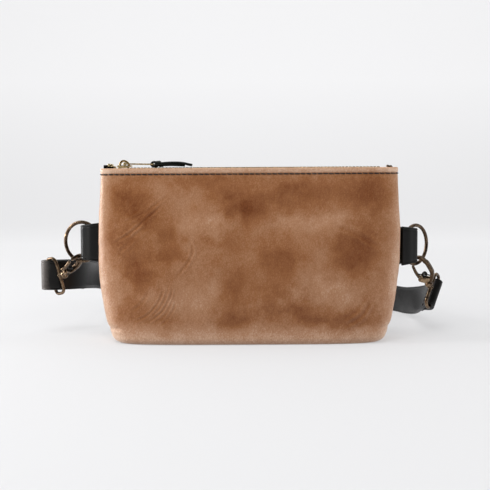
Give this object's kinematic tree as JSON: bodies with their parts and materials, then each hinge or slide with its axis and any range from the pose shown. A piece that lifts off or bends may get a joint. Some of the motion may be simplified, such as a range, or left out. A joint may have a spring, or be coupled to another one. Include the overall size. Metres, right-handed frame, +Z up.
{
  "type": "waist pack",
  "caption": "Small wedge-shaped leather waist pack: top zip, side tabs with round rings, and a strap belt held on by two swivel snap hooks.",
  "frame": {"origin": "centre of the pouch's base, on the surface it stands on, in the plane of its side seams", "axes": "+X to the right seen from the front, along the zip; +Y from the front towards the wearer; +Z up"},
  "size_m": [0.3007, 0.2482, 0.1293],
  "materials": {
    "pouch_leather": "waxed pull-up",
    "black_leather": "satin",
    "zip_tape": "woven",
    "thread": "waxed",
    "zip_brass": "polished antique",
    "antique_brass": "antique",
    "spring_steel": "dark"
  },
  "bodies": {
    "pouch": {"front_panel": "pouch_leather", "back_panel": "pouch_leather", "zip_tape_front": "zip_tape", "zip_tape_back": "zip_tape", "zip_teeth_front": "zip_brass", "zip_teeth_back": "zip_brass", "zip_top_stops": "zip_brass", "zip_bottom_stop": "zip_brass", "stitching_front": "thread", "stitching_back": "thread", "strap_left": "black_leather", "strap_right": "black_leather", "strap_stitching_left": "thread", "strap_stitching_right": "thread", "strap_stud": "antique_brass"},
    "slider": {"zip_slider": "zip_brass"},
    "pull": {"pull_plate": "zip_brass"},
    "tail": {"pull_tab": "black_leather"},
    "keeper": {"keeper_loop": "black_leather"},
    "tab_left": {"tab_left": "black_leather"},
    "ring_left": {"ring_left": "antique_brass"},
    "eye_left": {"eye_left": "antique_brass"},
    "hook_left": {"hook_left": "antique_brass", "gate_pin_left": "antique_brass", "gate_spring_left": "spring_steel"},
    "gate_left": {"gate_left": "antique_brass"},
    "tab_right": {"tab_right": "black_leather"},
    "ring_right": {"ring_right": "antique_brass"},
    "eye_right": {"eye_right": "antique_brass"},
    "hook_right": {"hook_right": "antique_brass", "gate_pin_right": "antique_brass", "gate_spring_right": "spring_steel"},
    "gate_right": {"gate_right": "antique_brass"}
  },
  "joints": [
    {"name": "zip_slide", "type": "slide", "parent": "pouch", "child": "slider", "axis": [1, 0, 0], "range_m": [0, 0.176]},
    {"name": "pull_flip", "type": "hinge", "parent": "slider", "child": "pull", "pos_m": [-0.08875, 0, 0.1264], "axis": [0, -1, 0], "range_deg": [0, 150]},
    {"name": "tail_swing", "type": "hinge", "parent": "pull", "child": "tail", "pos_m": [-0.06835, 0, 0.12604], "axis": [0, -1, 0], "range_deg": [0, 50]},
    {"name": "tab_left_sway", "type": "hinge", "parent": "pouch", "child": "tab_left", "pos_m": [-0.1072, 0, 0.0704], "axis": [0, 0, 1], "range_deg": [-5, 3]},
    {"name": "ring_left_turn", "type": "hinge", "parent": "tab_left", "child": "ring_left", "pos_m": [-0.1213, 0.0066, 0.0705], "axis": [-0.4067, -0.9135, 0], "continuous": true},
    {"name": "eye_left_turn", "type": "hinge", "parent": "pouch", "child": "eye_left", "pos_m": [-0.1474, 0.026, 0.043], "axis": [-0.2493, -0.0565, 0.9668], "range_deg": [-4, 4]},
    {"name": "hook_left_swivel", "type": "hinge", "parent": "eye_left", "child": "hook_left", "pos_m": [-0.1366, 0.0177, 0.0453], "axis": [0.7818, -0.6009, 0.1665], "range_deg": [-5, 5]},
    {"name": "gate_left_open", "type": "hinge", "parent": "hook_left", "child": "gate_left", "pos_m": [-0.13552, 0.01219, 0.04878], "axis": [-0.5557, 0.3629, 0.7479], "range_deg": [0, 13], "stiffness_Nm_per_rad": 0.02, "springref_deg": -11.46},
    {"name": "tab_right_sway", "type": "hinge", "parent": "pouch", "child": "tab_right", "pos_m": [0.1078, 0, 0.0667], "axis": [0, 0, 1], "range_deg": [-5, 5]},
    {"name": "ring_right_turn", "type": "hinge", "parent": "tab_right", "child": "ring_right", "pos_m": [0.1209, 0.012, 0.0667], "axis": [-0.7071, 0.7071, 0], "continuous": true},
    {"name": "eye_right_turn", "type": "hinge", "parent": "pouch", "child": "eye_right", "pos_m": [0.1379, 0.0284, 0.0289], "axis": [0.3767, 0.4818, 0.7912], "range_deg": [-4, 4]},
    {"name": "hook_right_swivel", "type": "hinge", "parent": "eye_right", "child": "hook_right", "pos_m": [0.1324, 0.0194, 0.037], "axis": [-0.4136, -0.6767, 0.6091], "range_deg": [-5, 5]},
    {"name": "gate_right_open", "type": "hinge", "parent": "hook_right", "child": "gate_right", "pos_m": [0.127, 0.01976, 0.04078], "axis": [0.336, 0.8528, 0.3998], "range_deg": [0, 13], "stiffness_Nm_per_rad": 0.02, "springref_deg": -11.46},
    {"name": "keeper_slide", "type": "slide", "parent": "pouch", "child": "keeper", "axis": [1, 0, 0], "range_m": [-0.004, 0.01]}
  ],
  "couplings": [
    {"joint": "eye_left_turn", "follows": "tab_left_sway", "ratio": -0.6885},
    {"joint": "eye_right_turn", "follows": "tab_right_sway", "ratio": -0.7304}
  ]
}
